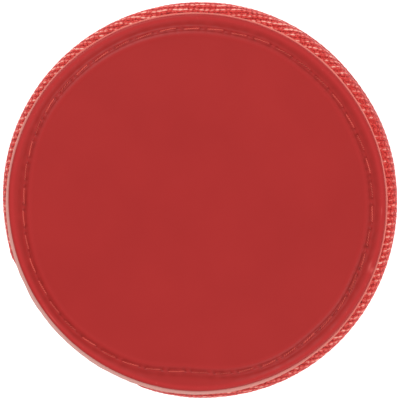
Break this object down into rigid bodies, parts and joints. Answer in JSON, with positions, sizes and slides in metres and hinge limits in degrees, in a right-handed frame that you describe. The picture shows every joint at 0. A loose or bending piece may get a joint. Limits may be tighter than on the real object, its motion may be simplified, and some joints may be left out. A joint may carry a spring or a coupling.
{
  "type": "table tennis paddle case",
  "caption": "Round padded half-cover for a paddle blade: two shells with smooth sewn face panels, hinged beside a handle mouth, with a zip round the rim.",
  "frame": {"origin": "centre of the back panel's resting face, on the axis of the round shells", "axes": "+Z is the outward normal of the front face, -Y points out of the handle mouth, X runs along the hinge"},
  "size_m": [0.18, 0.177, 0.034],
  "materials": {
    "face_vinyl": "smooth semi-gloss coated vinyl",
    "panel_backing": "cut edge of a pale red felt backing",
    "face_thread": "thick waxed sewing thread",
    "woven_cover": "coarse ribbed weave",
    "shell_foam": "moulded closed-cell foam, matte",
    "lining_cloth": "short brushed lining",
    "binding_tape": "ribbed binding tape",
    "zip_tape": "herringbone zip tape",
    "zip_coil": "nylon coil, satin",
    "zip_metal": "nickel-plated die casting",
    "trim_thread": "sewing thread",
    "strap_webbing": "ribbed webbing"
  },
  "bodies": {
    "back_half": {"back_face_panel": "face_vinyl", "back_panel_backing": "panel_backing", "back_face_stitching": "face_thread", "back_shell_cover": "woven_cover", "back_shell": "shell_foam", "back_lining": "lining_cloth", "back_edge_binding": "binding_tape", "back_mouth_binding": "binding_tape", "back_zip_tape": "zip_tape", "back_zip_coil": "zip_coil", "back_zip_stops": "zip_metal", "back_tape_stitching": "trim_thread", "back_strap_left": "strap_webbing", "back_strap_right": "strap_webbing", "back_strap_stitching": "trim_thread"},
    "front_half": {"front_face_panel": "face_vinyl", "front_panel_backing": "panel_backing", "front_face_stitching": "face_thread", "front_shell_cover": "woven_cover", "front_shell": "shell_foam", "front_lining": "lining_cloth", "front_edge_binding": "binding_tape", "front_mouth_binding": "binding_tape", "front_zip_tape": "zip_tape", "front_zip_coil": "zip_coil", "front_zip_stops": "zip_metal", "front_tape_stitching": "trim_thread", "front_strap_left": "strap_webbing", "front_strap_right": "strap_webbing", "front_strap_stitching": "trim_thread"},
    "zip_slider": {"slider_body": "zip_metal"},
    "zip_pull": {"pull_tab": "zip_metal"}
  },
  "joints": [
    {"name": "lid_hinge", "type": "hinge", "parent": "back_half", "child": "front_half", "pos_m": [0, -0.0806, 0.017], "axis": [1, 0, 0], "range_deg": [0, 125]},
    {"name": "zip_travel", "type": "hinge", "parent": "back_half", "child": "zip_slider", "pos_m": [0, 0, 0.017], "axis": [0, 0, 1], "range_deg": [0, 284]},
    {"name": "pull_flip", "type": "hinge", "parent": "zip_slider", "child": "zip_pull", "pos_m": [0.05427, -0.06946, 0.017], "axis": [0, 0, -1], "range_deg": [0, 170]}
  ]
}
